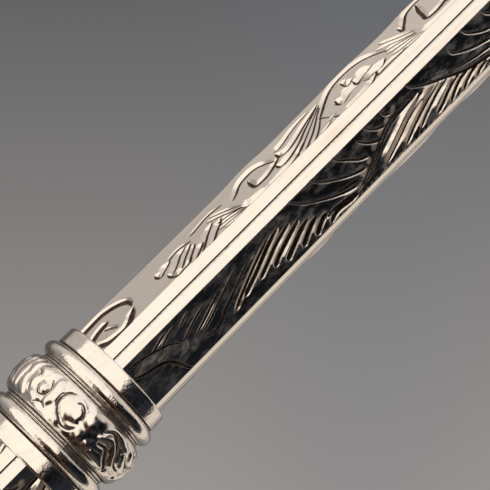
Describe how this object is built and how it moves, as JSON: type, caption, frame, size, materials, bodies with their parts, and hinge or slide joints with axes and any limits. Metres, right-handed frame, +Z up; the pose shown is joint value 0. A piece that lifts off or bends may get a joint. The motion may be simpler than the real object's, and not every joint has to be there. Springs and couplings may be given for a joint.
{
  "type": "baby rattle",
  "caption": "Silver baby rattle with an engraved faceted handle, a cast floral collar, a drum hung with round bells, a whistle mouthpiece and a swinging ribbon ring.",
  "frame": {"origin": "on the rattle's axis, level with the bottom of the ribbon ring", "axes": "+Z up the handle from the ribbon ring to the whistle, +Y along the ribbon ring's bore, +X along the ring's pin"},
  "size_m": [0.0368, 0.033, 0.1775],
  "materials": {
    "polished_silver": "turned and polished silver, softly worn",
    "engraved_silver": "polished silver sheet with tarnish in the cuts",
    "cast_silver": "cast silver, darker in the recesses",
    "head_silver": "polished silver",
    "bell_silver": "polished spun silver",
    "wire_silver": "drawn silver wire",
    "iron_shot": "dull iron"
  },
  "bodies": {
    "rattle": {"ring_pin": "polished_silver", "ring_fork": "polished_silver", "pommel_cap": "polished_silver", "pommel_collar": "polished_silver", "lower_tube": "engraved_silver", "lower_ring": "polished_silver", "cast_band": "cast_silver", "upper_ring": "polished_silver", "joining_sleeve": "polished_silver", "upper_tube": "engraved_silver", "head_collar": "head_silver", "lower_bowl": "head_silver", "girdle": "head_silver", "staples": "wire_silver", "upper_bowl": "head_silver", "whistle_collar": "head_silver", "whistle_tube": "head_silver", "fipple_block": "head_silver", "floor_plug": "head_silver", "whistle_bead": "head_silver"},
    "ring": {"ribbon_ring": "polished_silver"},
    "link_1": {"bell_1_link": "wire_silver"},
    "bell_1": {"bell_1_crown": "bell_silver", "bell_1_mouth": "bell_silver"},
    "pellet_1": {"bell_1_pellet": "iron_shot"},
    "link_2": {"bell_2_link": "wire_silver"},
    "bell_2": {"bell_2_crown": "bell_silver", "bell_2_mouth": "bell_silver"},
    "pellet_2": {"bell_2_pellet": "iron_shot"},
    "link_3": {"bell_3_link": "wire_silver"},
    "bell_3": {"bell_3_crown": "bell_silver", "bell_3_mouth": "bell_silver"},
    "pellet_3": {"bell_3_pellet": "iron_shot"},
    "link_4": {"bell_4_link": "wire_silver"},
    "bell_4": {"bell_4_crown": "bell_silver", "bell_4_mouth": "bell_silver"},
    "pellet_4": {"bell_4_pellet": "iron_shot"},
    "link_5": {"bell_5_link": "wire_silver"},
    "bell_5": {"bell_5_crown": "bell_silver", "bell_5_mouth": "bell_silver"},
    "pellet_5": {"bell_5_pellet": "iron_shot"},
    "link_6": {"bell_6_link": "wire_silver"},
    "bell_6": {"bell_6_crown": "bell_silver", "bell_6_mouth": "bell_silver"},
    "pellet_6": {"bell_6_pellet": "iron_shot"}
  },
  "joints": [
    {"name": "ring_swing", "type": "hinge", "parent": "rattle", "child": "ring", "pos_m": [0, 0, 0.01905], "axis": [1, 0, 0], "range_deg": [-110, 110]},
    {"name": "bell_1_swing", "type": "hinge", "parent": "rattle", "child": "link_1", "pos_m": [0.0138, 0, 0.1452], "axis": [0, -1, 0], "range_deg": [-12, 192]},
    {"name": "bell_1_sway", "type": "hinge", "parent": "link_1", "child": "bell_1", "pos_m": [0.0138, 0, 0.14278], "axis": [1, 0, 0], "range_deg": [-15, 15]},
    {"name": "pellet_1_slide", "type": "slide", "parent": "bell_1", "child": "pellet_1", "axis": [0, 0, 1], "range_m": [0, 0.0052]},
    {"name": "bell_2_swing", "type": "hinge", "parent": "rattle", "child": "link_2", "pos_m": [0.0069, 0.01195, 0.1452], "axis": [0.866, -0.5, 0], "range_deg": [-12, 192]},
    {"name": "bell_2_sway", "type": "hinge", "parent": "link_2", "child": "bell_2", "pos_m": [0.0069, 0.01195, 0.14278], "axis": [0.5, 0.866, 0], "range_deg": [-15, 15]},
    {"name": "pellet_2_slide", "type": "slide", "parent": "bell_2", "child": "pellet_2", "axis": [0, 0, 1], "range_m": [0, 0.0052]},
    {"name": "bell_3_swing", "type": "hinge", "parent": "rattle", "child": "link_3", "pos_m": [-0.0069, 0.01195, 0.1452], "axis": [0.866, 0.5, 0], "range_deg": [-12, 192]},
    {"name": "bell_3_sway", "type": "hinge", "parent": "link_3", "child": "bell_3", "pos_m": [-0.0069, 0.01195, 0.14278], "axis": [-0.5, 0.866, 0], "range_deg": [-15, 15]},
    {"name": "pellet_3_slide", "type": "slide", "parent": "bell_3", "child": "pellet_3", "axis": [0, 0, 1], "range_m": [0, 0.0052]},
    {"name": "bell_4_swing", "type": "hinge", "parent": "rattle", "child": "link_4", "pos_m": [-0.0138, 0, 0.1452], "axis": [0, 1, 0], "range_deg": [-12, 192]},
    {"name": "bell_4_sway", "type": "hinge", "parent": "link_4", "child": "bell_4", "pos_m": [-0.0138, 0, 0.14278], "axis": [-1, 0, 0], "range_deg": [-15, 15]},
    {"name": "pellet_4_slide", "type": "slide", "parent": "bell_4", "child": "pellet_4", "axis": [0, 0, 1], "range_m": [0, 0.0052]},
    {"name": "bell_5_swing", "type": "hinge", "parent": "rattle", "child": "link_5", "pos_m": [-0.0069, -0.01195, 0.1452], "axis": [-0.866, 0.5, 0], "range_deg": [-12, 192]},
    {"name": "bell_5_sway", "type": "hinge", "parent": "link_5", "child": "bell_5", "pos_m": [-0.0069, -0.01195, 0.14278], "axis": [-0.5, -0.866, 0], "range_deg": [-15, 15]},
    {"name": "pellet_5_slide", "type": "slide", "parent": "bell_5", "child": "pellet_5", "axis": [0, 0, 1], "range_m": [0, 0.0052]},
    {"name": "bell_6_swing", "type": "hinge", "parent": "rattle", "child": "link_6", "pos_m": [0.0069, -0.01195, 0.1452], "axis": [-0.866, -0.5, 0], "range_deg": [-12, 192]},
    {"name": "bell_6_sway", "type": "hinge", "parent": "link_6", "child": "bell_6", "pos_m": [0.0069, -0.01195, 0.14278], "axis": [0.5, -0.866, 0], "range_deg": [-15, 15]},
    {"name": "pellet_6_slide", "type": "slide", "parent": "bell_6", "child": "pellet_6", "axis": [0, 0, 1], "range_m": [0, 0.0052]}
  ]
}
